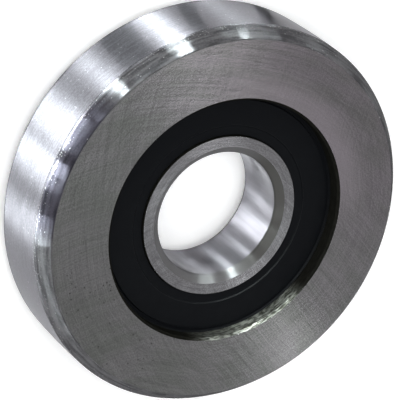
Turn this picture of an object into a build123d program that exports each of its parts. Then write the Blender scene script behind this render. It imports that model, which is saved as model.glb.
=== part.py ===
from build123d import *
import os
from math import asin, cos, degrees, radians, sin, sqrt

# Mast roller: a sealed ball bearing whose thick outer ring is itself the rolling wheel.
# The bore sits on a fixed stub axle and the outer ring runs along the mast channel.
# Lengths are in millimetres. The roller lies on its rear side face with its axis along +Z,
# and the origin is the middle of that face.

# Overall sizes
bore_diameter = 40.0
tread_diameter = 123.0
roller_width = 32.0
inner_ring_width = 23.0

# Ball set and raceways
ball_count = 8
ball_diameter = 15.081
pitch_diameter = 65.0
ball_clearance = 0.04
raceway_radius = 7.84
shoulder_height = 3.1

# Outer ring: the crown is how much smaller in radius the tread is at its edges
tread_crown = 0.2
corner_radial = 3.2
corner_axial = 4.75
corner_bulge = 0.15
recess_chamfer = 0.8
seal_groove_depth = 2.6
seal_groove_width = 2.1
seal_groove_undercut = 0.8

# Inner ring
bore_corner_radius = 1.6
lip_land_step = 2.1
lip_land_chamfer = 0.2
shoulder_chamfer = 0.3
shoulder_gap = 0.6

# Seals: a rubber moulding over a flat steel ring, held by a bead in the outer ring's groove
seal_setback = 0.5
lip_clearance = 0.15
lip_thickness = 0.6
lip_step = 0.35
lip_width = 3.15
lip_root = 1.1
rim_groove_width = 1.45
rim_groove_depth = 0.7
rim_groove_taper = 0.25
bead_clearance = 0.1
bead_foot = 0.45
bead_width = 1.8
bead_rounding = 0.35
bead_height = 1.95
insert_thickness = 0.6
insert_inset = 0.85
bond_gap = 0.02

# Cage: two pressed halves riveted together between the balls
pocket_clearance = 0.2
cage_sheet = 1.0
cage_band_width = 5.6
cage_to_seal_gap = 0.5
rivet_shank_diameter = 2.4
rivet_head_diameter = 4.2
rivet_head_height = 0.9
rivet_hole_clearance = 0.02

# Radii that follow from the sizes above
ball_radius = ball_diameter / 2
pitch_radius = pitch_diameter / 2
tread_radius = tread_diameter / 2
tread_edge_radius = tread_radius - tread_crown
face_edge_radius = tread_edge_radius - corner_radial
inner_race_bottom = pitch_radius - ball_radius - ball_clearance
outer_race_bottom = pitch_radius + ball_radius + ball_clearance
inner_race_centre = inner_race_bottom + raceway_radius
outer_race_centre = outer_race_bottom - raceway_radius
inner_shoulder = inner_race_bottom + shoulder_height
outer_shoulder = outer_race_bottom - shoulder_height
lip_land = inner_shoulder - lip_land_step
seal_groove = outer_shoulder + seal_groove_depth
recess_radius = seal_groove - seal_groove_undercut

# Heights above the roller's middle plane
outer_half = roller_width / 2
inner_half = inner_ring_width / 2
tread_half = outer_half - corner_axial
seal_face = inner_half - seal_setback
pocket_outer_radius = ball_radius + pocket_clearance + cage_sheet
insert_underside = pocket_outer_radius + cage_to_seal_gap
seal_seat = insert_underside - bead_foot
groove_top = seal_seat + seal_groove_width

# The middle plane, and the radial section plane whose own X is radius and Y is height
middle = Plane.XY.offset(outer_half)
section = Plane(origin=(0, 0, outer_half), x_dir=(1, 0, 0), z_dir=(0, -1, 0))


def race_half_width(shoulder, race_centre):
    """Half the raceway's width where its arc meets the shoulder."""
    return sqrt(raceway_radius**2 - (shoulder - race_centre) ** 2)


os.makedirs("parts", exist_ok=True)

# Outer ring: crowned tread, turned corners, flat side faces and a seal recess on each side
with BuildPart() as outer_ring:
    race_width = race_half_width(outer_shoulder, outer_race_centre)
    crown_radius = (tread_half**2 + tread_crown**2) / (2 * tread_crown)
    with BuildSketch(section):
        with BuildLine():
            race = CenterArc(
                (outer_race_centre, 0), raceway_radius, 0, degrees(asin(race_width / raceway_radius))
            )
            seal_seat_wall = Polyline(
                race @ 1,
                (outer_shoulder, seal_seat),
                (seal_groove, seal_seat),
                (seal_groove, groove_top),
                (recess_radius, groove_top + seal_groove_undercut / 2),
                (recess_radius, outer_half - recess_chamfer),
                (recess_radius + recess_chamfer, outer_half),
                (face_edge_radius, outer_half),
            )
            tread = CenterArc(
                (tread_radius - crown_radius, 0), crown_radius, 0, degrees(asin(tread_half / crown_radius))
            )
            SagittaArc(seal_seat_wall @ 1, tread @ 1, corner_bulge)
            Line(tread @ 0, race @ 0)
        make_face()
        mirror(about=Plane.XZ)
    revolve(axis=Axis.Z)
outer_ring.part.label = "outer_ring"
export_step(outer_ring.part, "parts/outer_ring.step")

# Inner ring: rounded bore corners, ball raceway, and a low land on each side for the seal lip
with BuildPart() as inner_ring:
    race_width = race_half_width(inner_shoulder, inner_race_centre)
    with BuildSketch(section):
        with BuildLine():
            race = CenterArc(
                (inner_race_centre, 0), raceway_radius, 180, -degrees(asin(race_width / raceway_radius))
            )
            seal_side = Polyline(
                race @ 1,
                (inner_shoulder, seal_seat - shoulder_chamfer),
                (inner_shoulder - shoulder_chamfer, seal_seat),
                (lip_land + shoulder_gap, seal_seat),
                (lip_land, seal_seat + shoulder_gap),
                (lip_land, inner_half - lip_land_chamfer),
                (lip_land - lip_land_chamfer, inner_half),
                (bore_diameter / 2 + bore_corner_radius, inner_half),
            )
            bore_corner = CenterArc(
                (bore_diameter / 2 + bore_corner_radius, inner_half - bore_corner_radius),
                bore_corner_radius,
                90,
                90,
            )
            Polyline(bore_corner @ 1, (bore_diameter / 2, 0), race @ 0)
        make_face()
        mirror(about=Plane.XZ)
    revolve(axis=Axis.Z)
inner_ring.part.label = "inner_ring"
export_step(inner_ring.part, "parts/inner_ring.step")

# Seal insert: the flat steel ring that stiffens each seal, bare on the side facing the balls
insert_inner = lip_land + lip_clearance + lip_width - insert_inset
insert_outer = seal_groove - bead_clearance - insert_inset
with BuildPart() as front_seal_insert:
    with BuildSketch(middle.offset(insert_underside)):
        Circle(insert_outer)
        Circle(insert_inner, mode=Mode.SUBTRACT)
    extrude(amount=insert_thickness)
front_seal_insert.part.label = "front_seal_insert"
export_step(front_seal_insert.part, "parts/front_seal_insert.step")

# Seal rubber: thin lip on the inner ring's land, flat disc, a moulded groove round its rim,
# and a bead that fills the outer ring's groove and wraps the insert's outer edge
with BuildPart() as front_seal_rubber:
    lip_tip = lip_land + lip_clearance
    lip_end = lip_tip + lip_width
    lip_top = seal_face - lip_step
    bead_outer = seal_groove - bead_clearance
    rim_groove_floor = seal_face - rim_groove_depth
    insert_top = insert_underside + insert_thickness
    with BuildSketch(section):
        with BuildLine():
            Polyline(
                (lip_tip, lip_top - lip_thickness),
                (lip_tip, lip_top),
                (lip_end - lip_step, lip_top),
                (lip_end, seal_face),
                (recess_radius - rim_groove_width, seal_face),
                (recess_radius - rim_groove_width + rim_groove_taper, rim_groove_floor),
                (recess_radius - rim_groove_taper, rim_groove_floor),
                (bead_outer - bead_rounding, seal_seat + bead_height),
                (bead_outer, seal_seat + bead_height - bead_rounding),
                (bead_outer, seal_seat + bead_rounding),
                (bead_outer - bead_rounding, seal_seat),
                (bead_outer - bead_width, seal_seat),
                (bead_outer - bead_width - bead_rounding, insert_underside),
                (insert_outer + bond_gap, insert_underside),
                (insert_outer + bond_gap, insert_top),
                (insert_inner - bond_gap, insert_top),
                (insert_inner - bond_gap, insert_underside),
                (insert_inner - lip_root, insert_underside),
                close=True,
            )
        make_face()
    revolve(axis=Axis.Z)
front_seal_rubber.part.label = "front_seal_rubber"
export_step(front_seal_rubber.part, "parts/front_seal_rubber.step")

# Rear seal: the same two pieces on the other side of the middle plane
with BuildPart() as rear_seal_insert:
    mirror(front_seal_insert.part, about=middle)
rear_seal_insert.part.label = "rear_seal_insert"
export_step(rear_seal_insert.part, "parts/rear_seal_insert.step")

with BuildPart() as rear_seal_rubber:
    mirror(front_seal_rubber.part, about=middle)
rear_seal_rubber.part.label = "rear_seal_rubber"
export_step(rear_seal_rubber.part, "parts/rear_seal_rubber.step")

# Cage half: flats between the balls, and a spherical pocket pressed over each ball
with BuildPart(middle) as front_cage_half:
    with PolarLocations(pitch_radius, ball_count):
        Sphere(pocket_outer_radius)
    with BuildSketch(middle):
        Circle(pitch_radius + cage_band_width / 2)
        Circle(pitch_radius - cage_band_width / 2, mode=Mode.SUBTRACT)
    extrude(amount=pocket_outer_radius, mode=Mode.INTERSECT)
    with BuildSketch(middle):
        Circle(pitch_radius + cage_band_width / 2)
        Circle(pitch_radius - cage_band_width / 2, mode=Mode.SUBTRACT)
    extrude(amount=cage_sheet)
    with PolarLocations(pitch_radius, ball_count):
        Sphere(ball_radius + pocket_clearance, mode=Mode.SUBTRACT)
    with PolarLocations(pitch_radius, ball_count, start_angle=180 / ball_count):
        Hole(rivet_shank_diameter / 2 + rivet_hole_clearance)
front_cage_half.part.label = "front_cage_half"
export_step(front_cage_half.part, "parts/front_cage_half.step")

with BuildPart() as rear_cage_half:
    mirror(front_cage_half.part, about=middle)
rear_cage_half.part.label = "rear_cage_half"
export_step(rear_cage_half.part, "parts/rear_cage_half.step")

# Balls and domed cage rivets, evenly spaced round the pitch circle
dome_radius = ((rivet_head_diameter / 2) ** 2 + rivet_head_height**2) / (2 * rivet_head_height)
dome_half_angle = degrees(asin(rivet_head_diameter / 2 / dome_radius))
for number in range(ball_count):
    ball_angle = number * 360 / ball_count
    with BuildPart(middle) as ball:
        with PolarLocations(pitch_radius, 1, start_angle=ball_angle):
            Sphere(ball_radius)
    ball.part.label = f"ball_{number + 1}"
    export_step(ball.part, f"parts/ball_{number + 1}.step")

    rivet_angle = radians(ball_angle + 180 / ball_count)
    rivet_foot = (pitch_radius * cos(rivet_angle), pitch_radius * sin(rivet_angle), outer_half)
    rivet_section = Plane(
        origin=rivet_foot,
        x_dir=(cos(rivet_angle), sin(rivet_angle), 0),
        z_dir=(sin(rivet_angle), -cos(rivet_angle), 0),
    )
    with BuildPart() as cage_rivet:
        with BuildSketch(rivet_section):
            with BuildLine():
                dome = CenterArc(
                    (0, cage_sheet + rivet_head_height - dome_radius), dome_radius, 90, -dome_half_angle
                )
                Polyline(
                    dome @ 0,
                    (0, 0),
                    (rivet_shank_diameter / 2, 0),
                    (rivet_shank_diameter / 2, cage_sheet),
                    dome @ 1,
                )
            make_face()
            mirror(about=Plane.XZ)
        revolve(axis=Axis(rivet_foot, (0, 0, 1)))
    cage_rivet.part.label = f"cage_rivet_{number + 1}"
    export_step(cage_rivet.part, f"parts/cage_rivet_{number + 1}.step")
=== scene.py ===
from math import acos, asin, atan2, cos, degrees, hypot, pi, radians, sin, sqrt, tan

import bpy
from mathutils import Matrix, Vector


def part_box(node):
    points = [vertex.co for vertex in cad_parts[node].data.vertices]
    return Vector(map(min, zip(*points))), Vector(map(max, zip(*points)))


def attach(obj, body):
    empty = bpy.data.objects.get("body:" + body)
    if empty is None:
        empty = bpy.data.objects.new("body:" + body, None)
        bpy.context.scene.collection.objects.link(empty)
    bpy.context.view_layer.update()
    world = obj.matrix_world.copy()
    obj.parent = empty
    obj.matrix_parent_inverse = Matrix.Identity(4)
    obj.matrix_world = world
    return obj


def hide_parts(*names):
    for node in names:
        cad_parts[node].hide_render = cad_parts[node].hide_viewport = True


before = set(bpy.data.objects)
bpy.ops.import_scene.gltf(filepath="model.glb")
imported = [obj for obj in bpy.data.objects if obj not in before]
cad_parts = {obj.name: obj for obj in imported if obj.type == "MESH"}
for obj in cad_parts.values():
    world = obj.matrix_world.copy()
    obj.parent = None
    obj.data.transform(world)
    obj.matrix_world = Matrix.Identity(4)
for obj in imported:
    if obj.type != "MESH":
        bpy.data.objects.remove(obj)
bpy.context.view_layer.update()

# Lengths are in millimetres, unless a line says otherwise, and become metres where they reach Blender
MM = 0.001


# Overall sizes, read from the frame
def box_radius(node):
    """The shortest reach of a node's box from the axis, so a smooth ring stays inside its faceted solid."""
    low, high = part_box(node)
    return min(-low.x, high.x, -low.y, high.y) / MM


def box_heights(node):
    """Where a node's box begins and ends along the axis."""
    low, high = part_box(node)
    return low.z / MM, high.z / MM


roller_width = box_heights("outer_ring")[1]
middle_height = roller_width / 2
outer_half = roller_width / 2
inner_half = box_heights("inner_ring")[1] - middle_height
tread_radius = box_radius("outer_ring")
inner_shoulder = box_radius("inner_ring")
bead_outer = box_radius("front_seal_rubber")
seal_seat = box_heights("front_seal_rubber")[0] - middle_height
seal_face = box_heights("front_seal_rubber")[1] - middle_height
insert_underside = box_heights("front_seal_insert")[0] - middle_height
insert_top = box_heights("front_seal_insert")[1] - middle_height
bore_radius = 20.0

# Outer ring
tread_edge_radius = tread_radius - 0.2
face_edge_radius = tread_edge_radius - 3.2
tread_half = outer_half - 4.75
corner_bulge = 0.15
face_edge_rounding = 0.5
tread_edge_rounding = 0.6
seal_groove = bead_outer + 0.1
recess_radius = seal_groove - 0.8
recess_chamfer = 0.8
recess_edge_rounding = 0.12
groove_top = seal_seat + 2.1
groove_slope = 0.4
outer_race_bottom = seal_groove + 0.5
outer_shoulder = outer_race_bottom - 3.1

# Raceways
raceway_radius = 7.84
inner_race_bottom = inner_shoulder - 3.1

# Inner ring
bore_corner_radial = 2.4
bore_corner_axial = 1.7
bore_corner_rounding = 1.2
lip_land = inner_shoulder - 2.1
lip_land_chamfer = 0.2
shoulder_chamfer = 0.3
shoulder_gap = 0.6

# Seal
lip_tip = lip_land + 0.15
lip_end = lip_tip + 3.15
lip_top = seal_face - 0.35
lip_thickness = 0.6
lip_step = 0.35
lip_end_rounding = 0.12
rim_groove_width = 1.45
rim_groove_depth = 0.7
rim_groove_taper = 0.25
bead_height = 1.95
bead_width = 1.8
bead_rounding = 0.35
insert_inner = lip_end - 0.85
insert_outer = bead_outer - 0.85
insert_clearance = 0.02
rubber_inner = insert_inner - 1.1
seal_roundings = (0.12, 0.15, lip_end_rounding, 0.1, 0.08, 0.08)

# The photograph's view of the front side face: how far the line of sight leans from the roller's axis, how
# far the picture is turned, where the face's centre stands before the camera, and the lens
view_lean = radians(36.38)
view_turn = radians(129.07)
view_right = 8.11
view_down = 6.55
view_distance = 772.76
view_lens = 230.80
sensor_width = 36.0

# Facets round a turned ring, and steps of the arcs in its outline
ring_segments = 360
race_steps = 14
corner_steps = 22
crown_steps = 8
edge_steps = 3
bore_corner_steps = 8

# Outlines

# A profile is a list of (radius, height above the middle plane, finish). The finish is that of the stretch
# which starts at the point.


def arc_points(centre, radius, start, end, steps, finish):
    """Points of an arc in the section plane, from start to end in degrees."""
    points = []
    for step in range(steps + 1):
        angle = radians(start + (end - start) * step / steps)
        points.append((centre[0] + radius * cos(angle), centre[1] + radius * sin(angle), finish))
    return points


def bulged(first, last, sagitta, steps, finish):
    """Points of a shallow arc from first to last that stands out to the left of the straight way."""
    chord = hypot(last[0] - first[0], last[1] - first[1])
    along = ((last[0] - first[0]) / chord, (last[1] - first[1]) / chord)
    outward = (-along[1], along[0])
    points = []
    for step in range(steps + 1):
        share = step / steps
        rise = 4 * sagitta * share * (1 - share)
        points.append((first[0] + along[0] * chord * share + outward[0] * rise,
                       first[1] + along[1] * chord * share + outward[1] * rise, finish))
    return points


def eased(profile, easings, steps=edge_steps):
    """The profile with some of its corners rounded. easings maps a point's index to the radius and the finish
    of its rounding."""
    points = []
    for index, (radius, height, finish) in enumerate(profile):
        if index not in easings:
            points.append((radius, height, finish))
            continue
        easing, easing_finish = easings[index]
        corner = Vector((radius, height))
        before = Vector(profile[index - 1][:2]) - corner
        after = Vector(profile[(index + 1) % len(profile)][:2]) - corner
        half_angle = before.angle(after) / 2
        reach = easing / tan(half_angle)
        start = corner + before.normalized() * reach
        end = corner + after.normalized() * reach
        inward = (before.normalized() + after.normalized()).normalized()
        centre = corner + inward * easing / sin(half_angle)
        first, last = start - centre, end - centre
        sweep = first.angle_signed(last)
        for step in range(steps + 1):
            turn = -sweep * step / steps
            turned_radius = first.x * cos(turn) - first.y * sin(turn)
            turned_height = first.x * sin(turn) + first.y * cos(turn)
            place = centre + Vector((turned_radius, turned_height))
            points.append((place.x, place.y, finish if step == steps else easing_finish))
    return points


def supported(profile, margin=0.06, longest=3.0):
    """The profile with a point at a margin from each end of a long stretch, and more between them, which
    keeps flat faces flat in shading."""
    shortest = 6 * margin
    points = []
    for index, (radius, height, finish) in enumerate(profile):
        points.append((radius, height, finish))
        following = profile[(index + 1) % len(profile)]
        length = hypot(following[0] - radius, following[1] - height)
        if length < shortest:
            continue
        inner_count = int(length / longest)
        inner_shares = [(number + 1) / (inner_count + 1) for number in range(inner_count)]
        for share in [margin / length] + inner_shares + [1 - margin / length]:
            points.append((radius + (following[0] - radius) * share,
                           height + (following[1] - height) * share, finish))
    return points


def mirrored(half):
    """A closed profile from its upper half, which runs from one point on the middle plane to another."""
    lower = []
    for (radius, height, _), (_, _, finish) in zip(reversed(half[1:]), reversed(half[:-1])):
        lower.append((radius, -height, finish))
    return half[:-1] + [(half[-1][0], half[-1][1], lower[0][2])] + lower[1:]


def same(first, second):
    """Whether two lengths in an outline are the same."""
    return abs(first - second) < 1e-6


# Meshes
def runs_clockwise(profile):
    """Whether a closed profile runs clockwise, seen with its radius to the right and its height upward."""
    doubled_area = 0.0
    for (radius, height, _), (next_radius, next_height, _) in zip(profile, profile[1:] + profile[:1]):
        doubled_area += radius * next_height - next_radius * height
    return doubled_area < 0


def lathe(name, profile, segments, finishes):
    """A ring turned from a closed profile, with one material for each finish."""
    mesh = bpy.data.meshes.new(name)
    rows = len(profile)
    turned_over = runs_clockwise(profile)
    vertices = []
    for segment in range(segments):
        angle = 2 * pi * segment / segments
        for radius, height, _ in profile:
            x, y = radius * cos(angle) * MM, radius * sin(angle) * MM
            vertices.append((x, y, (middle_height + height) * MM))
    names = list(finishes)
    faces = []
    indices = []
    for segment in range(segments):
        here, there = segment * rows, (segment + 1) % segments * rows
        for row in range(rows):
            after = (row + 1) % rows
            face = (here + row, there + row, there + after, here + after)
            faces.append(face[::-1] if turned_over else face)
            indices.append(names.index(profile[row][2]))
    mesh.from_pydata(vertices, [], faces)
    for finish in names:
        mesh.materials.append(finishes[finish])
    mesh.polygons.foreach_set("material_index", indices)
    mesh.polygons.foreach_set("use_smooth", [True] * len(faces))
    mesh.update()
    ring = bpy.data.objects.new(name, mesh)
    bpy.context.scene.collection.objects.link(ring)
    return ring


# Node helpers
def feed(tree, slot, given):
    """Puts a number, a colour, a vector or a socket into a node's input."""
    if isinstance(given, (int, float)):
        slot.default_value = given
    elif isinstance(given, tuple):
        slot.default_value = (*given, 1.0) if len(slot.default_value) == 4 else given
    else:
        tree.links.new(given, slot)


def new_material(name):
    """A material whose surface is one principled shader."""
    material = bpy.data.materials.new(name)
    material.use_nodes = True
    tree = material.node_tree
    tree.nodes.clear()
    output = tree.nodes.new("ShaderNodeOutputMaterial")
    shader = tree.nodes.new("ShaderNodeBsdfPrincipled")
    tree.links.new(shader.outputs["BSDF"], output.inputs["Surface"])
    return material, tree, shader


def maths(tree, operation, *inputs):
    """The result of an operation on numbers or sockets."""
    node = tree.nodes.new("ShaderNodeMath")
    node.operation = operation
    for slot, given in zip(node.inputs, inputs):
        feed(tree, slot, given)
    return node.outputs[0]


def between(tree, factor, first, second):
    """The first number where factor is 0, the second where it is 1, and a share of each between."""
    return maths(tree, "ADD", maths(tree, "MULTIPLY", first, maths(tree, "SUBTRACT", 1.0, factor)),
                 maths(tree, "MULTIPLY", second, factor))


def joined(tree, x, y, z):
    """A vector of three numbers or sockets."""
    node = tree.nodes.new("ShaderNodeCombineXYZ")
    for slot, given in zip(node.inputs, (x, y, z)):
        feed(tree, slot, given)
    return node.outputs[0]


def split(tree, vector):
    """The three coordinates of a vector."""
    node = tree.nodes.new("ShaderNodeSeparateXYZ")
    tree.links.new(vector, node.inputs[0])
    return node.outputs


def spread(tree, factor, low, high, low_value=0.0, high_value=1.0):
    """Maps factor smoothly from the range low..high to low_value..high_value."""
    node = tree.nodes.new("ShaderNodeMapRange")
    node.interpolation_type = "SMOOTHSTEP"
    for key, given in (("Value", factor), ("From Min", low), ("From Max", high), ("To Min", low_value),
                       ("To Max", high_value)):
        feed(tree, node.inputs[key], given)
    return node.outputs["Result"]


def noise(tree, vector, scale=1.0, detail=2.0):
    """Noise from 0 to 1, mostly near 0.5. The scale is the number of its cells in each unit of the vector."""
    node = tree.nodes.new("ShaderNodeTexNoise")
    for key, given in (("Vector", vector), ("Scale", scale), ("Detail", detail)):
        feed(tree, node.inputs[key], given)
    return node.outputs["Fac"]


def blend_colours(tree, factor, first, second, mode="MIX"):
    """The first colour where factor is 0, and the blend of both where it is 1."""
    node = tree.nodes.new("ShaderNodeMix")
    node.data_type = "RGBA"
    node.blend_type = mode
    # A Mix node has its slots for numbers and vectors before those for colours
    for slot, given in zip((node.inputs[0], node.inputs[6], node.inputs[7]), (factor, first, second)):
        feed(tree, slot, given)
    return node.outputs[2]


def tinted(tree, colour, tint):
    """A colour with each channel multiplied by the tint's."""
    return blend_colours(tree, 1.0, colour, tint, "MULTIPLY")


def scaled(tree, colour, factor):
    """A colour with all its channels multiplied by one factor."""
    return tinted(tree, colour, joined(tree, factor, factor, factor))


def object_place(tree):
    """Where a point lies on its object, in metres."""
    return tree.nodes.new("ShaderNodeTexCoord").outputs["Object"]


def stretched(tree, place, factors):
    """A place with its coordinates multiplied by the three factors."""
    node = tree.nodes.new("ShaderNodeVectorMath")
    node.operation = "MULTIPLY"
    tree.links.new(place, node.inputs[0])
    node.inputs[1].default_value = factors
    return node.outputs[0]


def radius_of(tree, place):
    """Distance from the roller's axis, in millimetres."""
    length = tree.nodes.new("ShaderNodeVectorMath")
    length.operation = "LENGTH"
    tree.links.new(stretched(tree, place, (1 / MM, 1 / MM, 0.0)), length.inputs[0])
    return length.outputs["Value"]


def distance_from_middle(tree, place):
    """Distance from the roller's middle plane, in millimetres."""
    height = maths(tree, "MULTIPLY_ADD", split(tree, place)[2], 1 / MM, -middle_height)
    return maths(tree, "ABSOLUTE", height)


def toward(tree, place, azimuth):
    """1 on the side that faces the azimuth in degrees, 0 at right angles and -1 opposite."""
    unit = tree.nodes.new("ShaderNodeVectorMath")
    unit.operation = "NORMALIZE"
    tree.links.new(stretched(tree, place, (1.0, 1.0, 0.0)), unit.inputs[0])
    dot = tree.nodes.new("ShaderNodeVectorMath")
    dot.operation = "DOT_PRODUCT"
    tree.links.new(unit.outputs[0], dot.inputs[0])
    dot.inputs[1].default_value = (cos(radians(azimuth)), sin(radians(azimuth)), 0.0)
    return dot.outputs["Value"]


# Marks
on_axis = (0, 0)
stroke_radius = 50.0


def marks_about(tree, place, centre, pitch, stroke, seed):
    """Noise drawn out along circles about an upright axis through centre: lines about one pitch apart, and
    strokes about as long as stroke where they lie stroke_radius from the centre."""
    coordinates = split(tree, place)
    x = maths(tree, "SUBTRACT", coordinates[0], centre[0] * MM)
    y = maths(tree, "SUBTRACT", coordinates[1], centre[1] * MM)
    squares = maths(tree, "ADD", maths(tree, "MULTIPLY", x, x), maths(tree, "MULTIPLY", y, y))
    radius = maths(tree, "SQRT", squares)
    turns = stroke_radius / stroke
    across = maths(tree, "MULTIPLY", maths(tree, "ADD", radius, coordinates[2]), 1 / (pitch * MM))
    vector = joined(tree, maths(tree, "MULTIPLY_ADD", maths(tree, "DIVIDE", x, radius), turns, seed),
                    maths(tree, "MULTIPLY", maths(tree, "DIVIDE", y, radius), turns), across)
    return noise(tree, vector)


def lengthwise_lines(tree, place, spacing):
    """Noise drawn out twentyfold along the axis, in lines about spacing millimetres apart."""
    return noise(tree, stretched(tree, place, (1.0, 1.0, 0.05)), 1 / (spacing * MM))


def specks(tree, place, spacing, size, share):
    """1 inside scattered specks of about size, in a share of the cells of a spacing, and 0 elsewhere. Lengths
    are in millimetres."""
    cells = tree.nodes.new("ShaderNodeTexVoronoi")
    tree.links.new(place, cells.inputs["Vector"])
    cells.inputs["Scale"].default_value = 1 / (spacing * MM)
    near = spread(tree, cells.outputs["Distance"], size / spacing * 0.35, size / spacing * 0.65, 1.0, 0.0)
    channels = tree.nodes.new("ShaderNodeSeparateColor")
    tree.links.new(cells.outputs["Color"], channels.inputs[0])
    return maths(tree, "MULTIPLY", near, maths(tree, "LESS_THAN", channels.outputs[0], share))


def round_grain(tree, shader, anisotropy):
    """Sets marks that run round the axis, so that highlights are drawn out across them."""
    quarter_turn = 0.25
    node = tree.nodes.new("ShaderNodeTangent")
    node.direction_type = "RADIAL"
    node.axis = "Z"
    tree.links.new(node.outputs["Tangent"], shader.inputs["Tangent"])
    shader.inputs["Anisotropic"].default_value = anisotropy
    shader.inputs["Anisotropic Rotation"].default_value = quarter_turn


def bumped(tree, shader, height, depth):
    """Feeds a height from 0 to 1, times depth in millimetres, to the shader's normal."""
    node = tree.nodes.new("ShaderNodeBump")
    node.inputs["Strength"].default_value = 1.0
    node.inputs["Distance"].default_value = depth * MM
    tree.links.new(height, node.inputs["Height"])
    tree.links.new(node.outputs["Normal"], shader.inputs["Normal"])


# Materials
def rolling_surface():
    """The ground tread, which runs into the turned corners over a ragged edge, with small dents and scratch
    marks painted bright as glints, and painted shade over the corners on one side.
    """
    dark_tread, pale_tread = (0.101, 0.095, 0.107), (0.124, 0.118, 0.132)
    dark_corner, pale_corner = (0.062, 0.061, 0.066), (0.146, 0.146, 0.153)
    # Painted shade: the corners are darkened, with a violet tint, on the side that faces this azimuth
    shade_tint, shade_azimuth = (0.42, 0.40, 0.48), 287
    corner_metallic = 0.075
    ragged_width = 2.4
    # Painted highlights: a bright colour for nicks and scratches, standing in for their glints
    glint_colour, nick_flatness, glint_cover = (0.80, 0.80, 0.80), 2.6, 0.45

    material, tree, shader = new_material("tread_ground")
    place = object_place(tree)
    height = distance_from_middle(tree, place)
    strokes = marks_about(tree, place, on_axis, pitch=0.5, stroke=5.0, seed=0.0)
    turned = marks_about(tree, place, on_axis, pitch=0.3, stroke=8.0, seed=3.0)
    grain = noise(tree, place, scale=1800.0)
    clouds = noise(tree, place, scale=60.0, detail=3.0)

    raggedness = marks_about(tree, place, on_axis, pitch=0.35, stroke=9.0, seed=21.0)
    shift = maths(tree, "MULTIPLY_ADD", raggedness, ragged_width, -ragged_width / 2)
    in_corner = spread(tree, maths(tree, "ADD", height, shift), tread_half - 0.8, tread_half + 0.9)

    tread_steel = blend_colours(tree, clouds, dark_tread, pale_tread)
    tread_tone = spread(tree, maths(tree, "ADD", strokes, grain), 0.7, 1.3, 0.78, 1.22)
    tread_steel = scaled(tree, tread_steel, tread_tone)
    lines = maths(tree, "ADD", turned, maths(tree, "MULTIPLY", grain, 0.35))
    corner_steel = blend_colours(tree, spread(tree, lines, 0.47, 0.87), dark_corner, pale_corner)
    # Painted shade over the corners on one side
    painted_shade_side = spread(tree, toward(tree, place, shade_azimuth), 0.89, 0.96)
    corner_steel = blend_colours(tree, painted_shade_side, corner_steel, tinted(tree, corner_steel, shade_tint))
    steel = blend_colours(tree, in_corner, tread_steel, corner_steel)

    # Painted highlights: nicks along the tread's edge and scattered scratches get a bright colour as glints
    from_edge = maths(tree, "ABSOLUTE", maths(tree, "SUBTRACT", height, tread_half))
    near_edge = spread(tree, from_edge, 0.2, 2.8, 1.0, 0.0)
    flattened = stretched(tree, place, (1.0, 1.0, nick_flatness))
    nick_glints = maths(tree, "MULTIPLY", near_edge, specks(tree, flattened, spacing=0.9, size=0.42, share=0.4))
    scratch_glints = maths(tree, "MULTIPLY", specks(tree, flattened, spacing=1.7, size=0.5, share=0.15), 0.8)
    bright = maths(tree, "MAXIMUM", nick_glints, scratch_glints)
    steel = blend_colours(tree, maths(tree, "MULTIPLY", bright, glint_cover), steel, glint_colour)

    tree.links.new(steel, shader.inputs["Base Color"])
    tread_roughness = spread(tree, strokes, 0.3, 0.7, 0.28, 0.31)
    corner_roughness = spread(tree, turned, 0.3, 0.7, 0.14, 0.19)
    roughness = between(tree, in_corner, tread_roughness, corner_roughness)
    tree.links.new(roughness, shader.inputs["Roughness"])
    tree.links.new(between(tree, in_corner, 1.0, corner_metallic), shader.inputs["Metallic"])
    shader.inputs["Specular IOR Level"].default_value = 0.0
    round_grain(tree, shader, anisotropy=1.0)
    corner_relief = maths(tree, "MULTIPLY", maths(tree, "MULTIPLY", turned, in_corner), 1.5)
    bumped(tree, shader, maths(tree, "ADD", strokes, corner_relief), depth=0.014)
    return material


def ground_face(name, dark, pale, centres, wear=None):
    """Satin side face: marks of grinding round the axis and about the centres, over soft clouds. Where wear
    is given, it works the steel's colour over."""
    material, tree, shader = new_material(name)
    place = object_place(tree)
    hatch = marks_about(tree, place, on_axis, pitch=0.3, stroke=14.0, seed=1.0)
    for index, centre in enumerate(centres):
        crossing = marks_about(tree, place, centre, pitch=0.3, stroke=12.0, seed=11.0 + index)
        hatch = maths(tree, "ADD", hatch, crossing)
    hatch = maths(tree, "DIVIDE", hatch, len(centres) + 1)
    grain = noise(tree, place, scale=2000.0)
    sweeps = marks_about(tree, place, centres[0], pitch=2.2, stroke=26.0, seed=31.0)
    clouds = between(tree, 0.5, noise(tree, place, scale=90.0, detail=3.0), sweeps)
    steel = blend_colours(tree, spread(tree, clouds, 0.36, 0.64), dark, pale)
    lines = maths(tree, "MULTIPLY_ADD", maths(tree, "SUBTRACT", grain, 0.5), 0.6, hatch)
    steel = scaled(tree, steel, spread(tree, lines, 0.28, 0.72, 0.76, 1.24))
    if wear:
        steel = wear(tree, place, steel)
    tree.links.new(steel, shader.inputs["Base Color"])
    tree.links.new(spread(tree, hatch, 0.35, 0.65, 0.22, 0.27), shader.inputs["Roughness"])
    shader.inputs["Metallic"].default_value = 1.0
    round_grain(tree, shader, anisotropy=0.8)
    bumped(tree, shader, hatch, depth=0.006)
    return material


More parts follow.
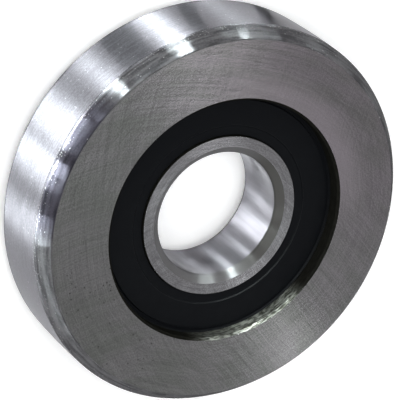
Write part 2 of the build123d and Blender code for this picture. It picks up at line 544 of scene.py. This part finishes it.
def side_wear(tree, place, steel):
    """The side face's steel, rubbed brighter near the recess on one side and pitted on the other."""
    rubbed_colour, rubbed_azimuth, rubbed_cover = (0.46, 0.44, 0.46), 172, 0.45
    violet_tint, violet_azimuth = (1.07, 1.0, 1.06), 170
    pit_colour, pit_azimuth, pit_cover = (0.03, 0.03, 0.028), 348, 0.75

    near_recess = spread(tree, radius_of(tree, place), recess_radius + 3, recess_radius + 12, 1.0, 0.0)
    rubbed_side = spread(tree, toward(tree, place, rubbed_azimuth), 0.55, 0.95)
    rubbed = maths(tree, "MULTIPLY", rubbed_side, near_recess)
    steel = blend_colours(tree, maths(tree, "MULTIPLY", rubbed, rubbed_cover), steel, rubbed_colour)
    violet_side = spread(tree, toward(tree, place, violet_azimuth), -0.2, 0.8)
    steel = blend_colours(tree, violet_side, steel, tinted(tree, steel, violet_tint))
    pitted_side = spread(tree, toward(tree, place, pit_azimuth), 0.70, 0.95)
    pits = maths(tree, "MULTIPLY", pitted_side, specks(tree, place, spacing=1.3, size=0.5, share=0.2))
    return blend_colours(tree, maths(tree, "MULTIPLY", pits, pit_cover), steel, pit_colour)


def side_face_steel():
    """The outer ring's ground side face."""
    dark, pale = (0.201, 0.206, 0.200), (0.234, 0.230, 0.236)
    return ground_face("side_ground", dark, pale, ((78, 30), (-70, 55)), side_wear)


def inner_face_steel():
    """The inner ring's ground side face."""
    dark, pale = (0.232, 0.227, 0.240), (0.288, 0.283, 0.298)
    return ground_face("inner_face_ground", dark, pale, ((30, 12),))


def recess_steel():
    """The recess wall: turned steel under old oil and dust, painted near black as shade in the recess, and
    brighter and more metallic on one side, where light is painted.
    """
    # Painted shade: the oiled colours are near black, for the shade in the recess as well as oil
    dark_oil_shade, pale_oil_shade = (0.009, 0.009, 0.0075), (0.013, 0.013, 0.011)
    dark_steel, pale_steel = (0.016, 0.016, 0.013), (0.120, 0.120, 0.110)
    lit_side_azimuth, lit_side_metallic = 58, 0.65

    material, tree, shader = new_material("recess_oil_and_shade")
    place = object_place(tree)
    turned = marks_about(tree, place, on_axis, pitch=0.6, stroke=2.5, seed=5.0)
    lines = spread(tree, turned, 0.35, 0.65)
    # Painted light: toward the given azimuth the wall is brighter, smoother and more metallic
    lit_side = spread(tree, toward(tree, place, lit_side_azimuth), 0.84, 0.97)
    oiled_and_shaded = blend_colours(tree, lines, dark_oil_shade, pale_oil_shade)
    lit_side_steel = blend_colours(tree, lines, dark_steel, pale_steel)
    tree.links.new(blend_colours(tree, lit_side, oiled_and_shaded, lit_side_steel), shader.inputs["Base Color"])
    tree.links.new(spread(tree, lit_side, 0.0, 1.0, 0.6, 0.36), shader.inputs["Roughness"])
    tree.links.new(maths(tree, "MULTIPLY", lit_side, lit_side_metallic), shader.inputs["Metallic"])
    shader.inputs["Specular IOR Level"].default_value = 0.0
    round_grain(tree, shader, anisotropy=0.8)
    bumped(tree, shader, turned, depth=0.008)
    return material


def polished_steel(name, base, roughness):
    """Polished steel with fine lines round the axis and along it."""
    dark_share = 0.92
    dark = tuple(dark_share * channel for channel in base)

    material, tree, shader = new_material(name)
    place = object_place(tree)
    fine = marks_about(tree, place, on_axis, pitch=0.25, stroke=8.0, seed=2.0)
    drawn = lengthwise_lines(tree, place, spacing=1.5)
    steel = blend_colours(tree, fine, dark, base)
    steel = scaled(tree, steel, spread(tree, drawn, 0.3, 0.7, 0.90, 1.10))
    tree.links.new(steel, shader.inputs["Base Color"])
    lines_roughness = spread(tree, fine, 0.3, 0.7, roughness - 0.03, roughness + 0.03)
    tree.links.new(lines_roughness, shader.inputs["Roughness"])
    shader.inputs["Metallic"].default_value = 1.0
    round_grain(tree, shader, anisotropy=1.0)
    bumped(tree, shader, fine, depth=0.004)
    return material


def bore_corner_steel():
    """The turned corners of the bore, darker and less metallic on one side, with a film of oil and painted
    shade there.
    """
    dark_steel, pale_steel = (0.145, 0.144, 0.147), (0.175, 0.173, 0.178)
    oil_shade_colour, oil_shade_azimuth = (0.080, 0.079, 0.076), 130
    bare_metallic, oil_shade_metallic = 0.28, 0.03

    material, tree, shader = new_material("bore_corner_turned")
    place = object_place(tree)
    turned = marks_about(tree, place, on_axis, pitch=0.25, stroke=8.0, seed=2.0)
    # Painted shade with oil: the side toward the oil azimuth is darker and duller
    oiled_and_shaded = spread(tree, toward(tree, place, oil_shade_azimuth), 0.25, 0.80)
    bare = blend_colours(tree, turned, dark_steel, pale_steel)
    tree.links.new(blend_colours(tree, oiled_and_shaded, bare, oil_shade_colour), shader.inputs["Base Color"])
    metallic = spread(tree, oiled_and_shaded, 0.0, 1.0, bare_metallic, oil_shade_metallic)
    tree.links.new(metallic, shader.inputs["Metallic"])
    tree.links.new(spread(tree, turned, 0.3, 0.7, 0.33, 0.39), shader.inputs["Roughness"])
    shader.inputs["Specular IOR Level"].default_value = 0.0
    round_grain(tree, shader, anisotropy=1.0)
    bumped(tree, shader, turned, depth=0.006)
    return material


def seal_rubber(name, specular, smoothest):
    """Black moulded rubber, its roughness from smoothest up in soft clouds."""
    dark, pale = (0.0036, 0.0042, 0.0054), (0.0060, 0.0066, 0.0080)

    material, tree, shader = new_material(name)
    place = object_place(tree)
    clouds = noise(tree, place, scale=400.0, detail=3.0)
    tree.links.new(blend_colours(tree, clouds, dark, pale), shader.inputs["Base Color"])
    tree.links.new(spread(tree, clouds, 0.3, 0.7, smoothest, smoothest + 0.1), shader.inputs["Roughness"])
    shader.inputs["Specular IOR Level"].default_value = specular
    bumped(tree, shader, noise(tree, place, scale=2500.0), depth=0.004)
    return material


bore_colour = (0.122, 0.115, 0.128)
bearing_colour = (0.45, 0.45, 0.46)
tread = rolling_surface()
side_face = side_face_steel()
ring_face = inner_face_steel()
bore = polished_steel("bore_polished", bore_colour, roughness=0.31)
race = polished_steel("race_polished", bearing_colour, roughness=0.22)
recess = recess_steel()
bore_corner = bore_corner_steel()
rubber = seal_rubber("moulded_rubber", specular=0.05, smoothest=0.48)
rubber_edge = seal_rubber("rubber_edge", specular=0.22, smoothest=0.26)


# Outer ring's mesh
def outer_ring_profile():
    """Upper half of the outer ring's outline: raceway, shoulder, seal groove, recess, face, corner, tread."""
    race_centre = outer_race_bottom - raceway_radius
    race_angle = degrees(acos((outer_shoulder - race_centre) / raceway_radius))
    half = arc_points((race_centre, 0), raceway_radius, 0, race_angle, race_steps, "race")
    half += [
        (outer_shoulder, seal_seat, "race"),
        (seal_groove, seal_seat, "race"),
        (seal_groove, groove_top, "recess"),
        (recess_radius, groove_top + groove_slope, "recess"),
        (recess_radius, outer_half - recess_chamfer, "recess"),
        (recess_radius + recess_chamfer, outer_half, "face"),
    ]
    face_edge, tread_edge = (face_edge_radius, outer_half), (tread_edge_radius, tread_half)
    corner = bulged(face_edge, tread_edge, corner_bulge, corner_steps, "tread")
    crown_rise = tread_radius - tread_edge_radius
    crown_radius = (tread_half**2 + crown_rise**2) / (2 * crown_rise)
    crown_angle = degrees(asin(tread_half / crown_radius))
    crown = arc_points((tread_radius - crown_radius, 0), crown_radius, crown_angle, 0, crown_steps, "tread")
    return half + corner[:-1] + crown


def whole_outer_ring():
    """The outer ring's closed outline, with the edges of its upper half rounded."""
    roundings = (
        (recess_radius, outer_half - recess_chamfer, recess_edge_rounding, "recess"),
        (recess_radius + recess_chamfer, outer_half, recess_edge_rounding, "face"),
        (face_edge_radius, outer_half, face_edge_rounding, "tread"),
        (tread_edge_radius, tread_half, tread_edge_rounding, "tread"),
    )
    whole = mirrored(outer_ring_profile())
    easings = {}
    for index, (radius, height, _) in enumerate(whole):
        for edge_radius, edge_height, rounding, finish in roundings:
            if same(radius, edge_radius) and same(height, edge_height):
                easings[index] = (rounding, finish)
    return supported(eased(whole, easings))


outer_finishes = {"race": race, "recess": recess, "face": side_face, "tread": tread}
outer_piece = lathe("ground_outer_ring", whole_outer_ring(), ring_segments, outer_finishes)
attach(outer_piece, "outer_ring")
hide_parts("outer_ring")


# Inner ring's mesh
def inner_ring_profile():
    """Upper half of the inner ring's outline: raceway, shoulder, land under the lip, face, corner, bore."""
    race_centre = inner_race_bottom + raceway_radius
    race_angle = degrees(acos((race_centre - inner_shoulder) / raceway_radius))
    half = arc_points((race_centre, 0), raceway_radius, 180, 180 - race_angle, race_steps, "race")
    half += [
        (inner_shoulder, seal_seat - shoulder_chamfer, "race"),
        (inner_shoulder - shoulder_chamfer, seal_seat, "race"),
        (lip_land + shoulder_gap, seal_seat, "race"),
        (lip_land, seal_seat + shoulder_gap, "dull"),
        (lip_land, inner_half - lip_land_chamfer, "dull"),
        (lip_land - lip_land_chamfer, inner_half, "face"),
        (bore_radius + bore_corner_radial, inner_half, "bore corner"),
        (bore_radius, inner_half - bore_corner_axial, "bore"),
        (bore_radius, 0.0, "bore"),
    ]
    return half


def whole_inner_ring():
    """The inner ring's closed outline, with its corners rounded into the bore."""
    whole = mirrored(inner_ring_profile())
    easings = {}
    for index, (radius, height, _) in enumerate(whole):
        if same(radius, bore_radius) and not same(height, 0.0):
            easings[index] = (bore_corner_rounding, "bore corner")
    return supported(eased(whole, easings, bore_corner_steps))


# The land under the lip takes the recess's material, with its painted shade
inner_finishes = {"race": race, "dull": recess, "face": ring_face, "bore corner": bore_corner, "bore": bore}
inner_piece = lathe("ground_inner_ring", whole_inner_ring(), ring_segments, inner_finishes)
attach(inner_piece, "inner_ring")
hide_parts("inner_ring")


# Seals
def seal_profile(side):
    """A seal's closed outline, in front of the middle plane where side is 1 and behind it where it is -1."""
    points = [
        (lip_tip, lip_top - lip_thickness),
        (lip_tip, lip_top),
        (lip_end - lip_step, lip_top),
        (lip_end, seal_face),
        (recess_radius - rim_groove_width, seal_face),
        (recess_radius - rim_groove_width + rim_groove_taper, seal_face - rim_groove_depth),
        (recess_radius - rim_groove_taper, seal_face - rim_groove_depth),
        (bead_outer - bead_rounding, seal_seat + bead_height),
        (bead_outer, seal_seat + bead_height - bead_rounding),
        (bead_outer, seal_seat + bead_rounding),
        (bead_outer - bead_rounding, seal_seat),
        (bead_outer - bead_width, seal_seat),
        (bead_outer - bead_width - bead_rounding, insert_underside),
        (insert_outer + insert_clearance, insert_underside),
        (insert_outer + insert_clearance, insert_top),
        (insert_inner - insert_clearance, insert_top),
        (insert_inner - insert_clearance, insert_underside),
        (rubber_inner, insert_underside),
    ]
    profile = [(radius, height, "rubber") for radius, height in points]
    easings = {index: (radius, "rubber") for index, radius in enumerate(seal_roundings, 1)}
    easings[points.index((lip_end, seal_face))] = (lip_end_rounding, "edge")
    rounded = supported(eased(profile, easings), margin=0.04)
    if side < 0:
        rounded = [(radius, -height, finish) for radius, height, finish in reversed(rounded)]
    return rounded


seal_finishes = {"rubber": rubber, "edge": rubber_edge}
for side, end in ((1, "front"), (-1, "rear")):
    seal_piece = lathe(f"moulded_{end}_seal", seal_profile(side), ring_segments, seal_finishes)
    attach(seal_piece, "outer_ring")
    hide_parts(f"{end}_seal_rubber")


# Balls, cage, rivets and seal inserts, which keep their own meshes
def dress(material, node_name):
    """Gives a node's own mesh one material in place of those it has."""
    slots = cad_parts[node_name].data.materials
    for index in range(len(slots)):
        slots[index] = material


rolling_steel = polished_steel("rolling_steel", bearing_colour, roughness=0.2)
for node_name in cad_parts:
    if node_name.startswith(("ball_", "cage_rivet_")) or node_name.endswith(("cage_half", "seal_insert")):
        dress(rolling_steel, node_name)


# Floor
def plain_floor():
    """A pale floor that the camera, gloss and glass see a little brighter than it is lit."""
    floor_colour = (0.9, 0.9, 0.9)
    seen_glow = 0.3
    half_metres = 6.0

    material, tree, shader = new_material("pale_floor")
    shader.inputs["Base Color"].default_value = (*floor_colour, 1.0)
    shader.inputs["Roughness"].default_value = 1.0
    shader.inputs["Specular IOR Level"].default_value = 0.0
    rays = tree.nodes.new("ShaderNodeLightPath")
    seen = maths(tree, "MAXIMUM", rays.outputs["Is Camera Ray"], rays.outputs["Is Glossy Ray"])
    seen = maths(tree, "MAXIMUM", seen, rays.outputs["Is Transmission Ray"])
    shader.inputs["Emission Color"].default_value = (1.0, 1.0, 1.0, 1.0)
    tree.links.new(maths(tree, "MULTIPLY", seen, seen_glow), shader.inputs["Emission Strength"])
    mesh = bpy.data.meshes.new("floor")
    signs = ((-1, -1), (1, -1), (1, 1), (-1, 1))
    corners = [(along * half_metres, across * half_metres, 0.0) for along, across in signs]
    mesh.from_pydata(corners, [], [(0, 1, 2, 3)])
    mesh.materials.append(material)
    floor = bpy.data.objects.new("floor", mesh)
    bpy.context.scene.collection.objects.link(floor)


plain_floor()

# Light

# How far the line of sight runs sideways in each unit of its length
sight_run = sin(view_lean)

# The glowing cards' distance in metres, the spacing of their vertices in degrees, and their colour
card_distance = 1.8
card_spacing = 3
card_tint = (0.90, 1.0, 0.98)

# Vertices of a card on the floor, how far it lies above the floor, and its colour
strip_rows = 10
strip_columns = 5
strip_lift = 0.3
strip_tint = (0.95, 0.99, 1.0)

# Seen from half way up its wall, a card on the floor runs out from a share of the steepest angle below level
# to the shallowest one, in degrees. Its slant ends at slant_reach from the wall.
strip_steepest_share = 0.98
strip_shallowest = 12.0
slant_reach = 22.0


def studio_world(strength):
    """An even white world."""
    world = bpy.data.worlds.new("studio")
    world.use_nodes = True
    background = world.node_tree.nodes["Background"]
    background.inputs["Color"].default_value = (1.0, 1.0, 1.0, 1.0)
    background.inputs["Strength"].default_value = strength
    bpy.context.scene.world = world


def direction(azimuth, elevation):
    """The way toward an azimuth and an elevation in degrees."""
    around, up = radians(azimuth), radians(elevation)
    return Vector((cos(around) * cos(up), sin(around) * cos(up), sin(up)))


def lamp_azimuth(streak, elevation):
    """Where a lamp stands so that its streak on marks round the axis falls at the azimuth streak.
    The direction half way between lamp and camera then lies at that azimuth."""
    side, level = sin(radians(streak)), cos(radians(elevation))
    reach = -sight_run * side + sqrt(sight_run**2 * side**2 + level**2 - sight_run**2)
    return degrees(atan2(sight_run + reach * side, reach * cos(radians(streak))))


def steepest_elevation(streak):
    """The highest elevation from which a lamp's streak can fall at the azimuth streak."""
    return degrees(acos(abs(sight_run * cos(radians(streak)))))


def softbox(name, azimuth, elevation, distance, width, height, radiance, lights_floor=False):
    """A rectangular lamp that faces the roller, hidden from the camera. It either lights the floor and dull
    surfaces or shows in metal and gloss. Angles are in degrees, sizes in metres."""
    light = bpy.data.lights.new(name, "AREA")
    light.shape = "RECTANGLE"
    light.size = width
    light.size_y = height
    light.energy = radiance * pi * width * height
    lamp = bpy.data.objects.new(name, light)
    away = direction(azimuth, elevation)
    lamp.location = Vector((0.0, 0.0, middle_height * MM)) + away * distance
    lamp.rotation_mode = "QUATERNION"
    lamp.rotation_quaternion = away.to_track_quat("Z", "Y")
    lamp.visible_camera = False
    lamp.visible_diffuse = lights_floor
    lamp.visible_glossy = not lights_floor
    bpy.context.scene.collection.objects.link(lamp)


def add_card(name, vertices, rows, columns, radiance, tint, lit):
    """A sheet through rows of vertices that glows and shows only in metal and gloss. Where lit is given, the
    card lights the objects of that collection only."""
    material, _, shader = new_material(name)
    shader.inputs["Base Color"].default_value = (0.0, 0.0, 0.0, 1.0)
    shader.inputs["Specular IOR Level"].default_value = 0.0
    shader.inputs["Emission Color"].default_value = (*tint, 1.0)
    shader.inputs["Emission Strength"].default_value = radiance
    faces = []
    for row in range(rows - 1):
        for column in range(columns - 1):
            corner = row * columns + column
            faces.append((corner, corner + 1, corner + columns + 1, corner + columns))
    mesh = bpy.data.meshes.new(name)
    mesh.from_pydata(vertices, [], faces)
    mesh.materials.append(material)
    card = bpy.data.objects.new(name, mesh)
    card.visible_camera = False
    card.visible_diffuse = False
    card.visible_shadow = False
    card.light_linking.receiver_collection = lit
    bpy.context.scene.collection.objects.link(card)


def light_ribbon(name, first, last, lowest, highest, radiance, lit):
    """A curved card round the roller. Its streak on marks round the axis runs from azimuth first to last, and
    it rises from elevation lowest to highest. Angles are in degrees."""
    rows = max(2, int((highest - lowest) / card_spacing) + 1)
    columns = max(2, int((last - first) / card_spacing) + 1)
    vertices = []
    for row in range(rows):
        elevation = lowest + (highest - lowest) * row / (rows - 1)
        for column in range(columns):
            streak = first + (last - first) * column / (columns - 1)
            vertices.append(direction(lamp_azimuth(streak, elevation), elevation) * card_distance)
    add_card(name, vertices, rows, columns, radiance, card_tint, lit)


def floor_strip(name, first, last, radiance, slant, wall_radius):
    """A card flat on the floor, which dims or brightens what a wall of wall_radius shows of the floor, where
    the wall faces azimuth first to last. The radius of a wall that faces the axis is negative. At the wall's
    foot the card is turned on by slant. Angles are in degrees."""
    lift = Vector((0.0, 0.0, strip_lift))
    vertices = []
    for row in range(strip_rows):
        for column in range(strip_columns):
            streak = first + (last - first) * column / (strip_columns - 1)
            steepest = strip_steepest_share * steepest_elevation(streak)
            elevation = steepest + (strip_shallowest - steepest) * max(0, row - 1) / (strip_rows - 2)
            reach = middle_height / tan(radians(elevation)) if row > 0 else 0.0
            foot_azimuth = streak + slant * max(0.0, 1 - reach / slant_reach)
            foot = direction(foot_azimuth, 0.0) * wall_radius
            onward = direction(lamp_azimuth(streak, elevation), 0.0) * reach
            vertices.append((foot + onward + lift) * MM)
    add_card(name, vertices, strip_rows, strip_columns, radiance, strip_tint, None)


# Cards that light all pieces: first and last azimuth, lowest and highest elevation, radiance
bands = [
    (190.0, 198.0, 0.5, 4.0, 36.0),
    (207.0, 226.0, 0.5, 3.0, 100.0),
    (217.6, 220.2, 3.0, 14.0, 150.0),
    (236.3, 242.3, 0.5, 5.0, 350.0),
    (236.0, 240.4, 6.0, 28.0, 240.0),
    (243.0, 256.0, 18.0, 34.0, 26.0),
    (259.6, 263.4, 0.5, 5.0, 370.0),
    (258.3, 261.0, 6.0, 32.0, 185.0),
    (268.5, 271.0, 16.0, 26.0, 60.0),
    (272.5, 282.8, 0.5, 4.6, 690.0),
    (286.4, 295.0, 0.5, 4.6, 540.0),
    (286.5, 290.5, 5.0, 14.0, 260.0),
    (302.5, 311.5, 0.5, 4.6, 420.0),
    (262.0, 316.0, 0.5, 3.0, 95.0),
    (314.0, 348.0, 0.5, 3.0, 80.0),
]

# Raised cards that light the inner ring only, with the same columns
bore_bands = [
    (207.0, 219.0, 14.0, 38.0, 22.0),
    (257.6, 260.2, 34.0, 46.0, 55.0),
    (272.8, 292.0, 20.0, 44.0, 80.0),
    (299.0, 309.5, 20.0, 44.0, 52.0),
    (310.0, 350.0, 16.0, 40.0, 10.0),
]

# Cards on the floor for the tread and the bore: first and last azimuth, radiance, slant, radius of the wall
floor_strips = [
    (201.2, 206.0, 0.0, 5.0, tread_radius),
    (226.0, 231.0, 0.4, 0.0, tread_radius),
    (244.5, 254.5, 0.3, 0.0, tread_radius),
    (197.5, 204.0, 0.3, 0.0, -bore_radius),
    (207.0, 219.0, 2.4, 0.0, -bore_radius),
    (223.0, 235.0, 0.0, 0.0, -bore_radius),
    (243.5, 254.0, 0.0, 0.0, -bore_radius),
    (256.5, 260.5, 3.6, 0.0, -bore_radius),
    (273.5, 290.5, 8.5, 0.0, -bore_radius),
    (299.0, 308.5, 6.5, 0.0, -bore_radius),
]

studio_world(strength=0.5)
inner_ring_only = bpy.data.collections.new("inner_ring_only")
inner_ring_only.objects.link(inner_piece)
for number, band in enumerate(bands, 1):
    light_ribbon(f"card_{number}", *band, None)
for number, strip in enumerate(floor_strips, 1):
    floor_strip(f"floor_card_{number}", *strip)
for number, band in enumerate(bore_bands, 1):
    light_ribbon(f"bore_card_{number}", *band, inner_ring_only)
softbox("key", azimuth=270, elevation=62, distance=1.3, width=0.6, height=0.6, radiance=8.5,
        lights_floor=True)
softbox("first_face_lamp", azimuth=117, elevation=66, distance=0.45, width=0.03, height=0.10, radiance=4.0)
softbox("second_face_lamp", azimuth=83, elevation=37, distance=0.35, width=0.03, height=0.08, radiance=2.6)


# Camera
def photograph_camera():
    """The photograph's view of the roller."""
    data = bpy.data.cameras.new("camera")
    data.sensor_width = sensor_width
    data.lens = view_lens
    camera = bpy.data.objects.new("camera", data)
    turn = Matrix.Rotation(view_lean, 3, "X") @ Matrix.Rotation(view_turn, 3, "Z")
    right, up, back = turn.col
    face_centre = Vector((0.0, 0.0, roller_width))
    camera.location = (face_centre - right * view_right + up * view_down + back * view_distance) * MM
    camera.rotation_mode = "QUATERNION"
    camera.rotation_quaternion = turn.to_quaternion()
    bpy.context.scene.collection.objects.link(camera)
    bpy.context.scene.camera = camera


photograph_camera()

bpy.context.scene.view_settings.view_transform = "Standard"
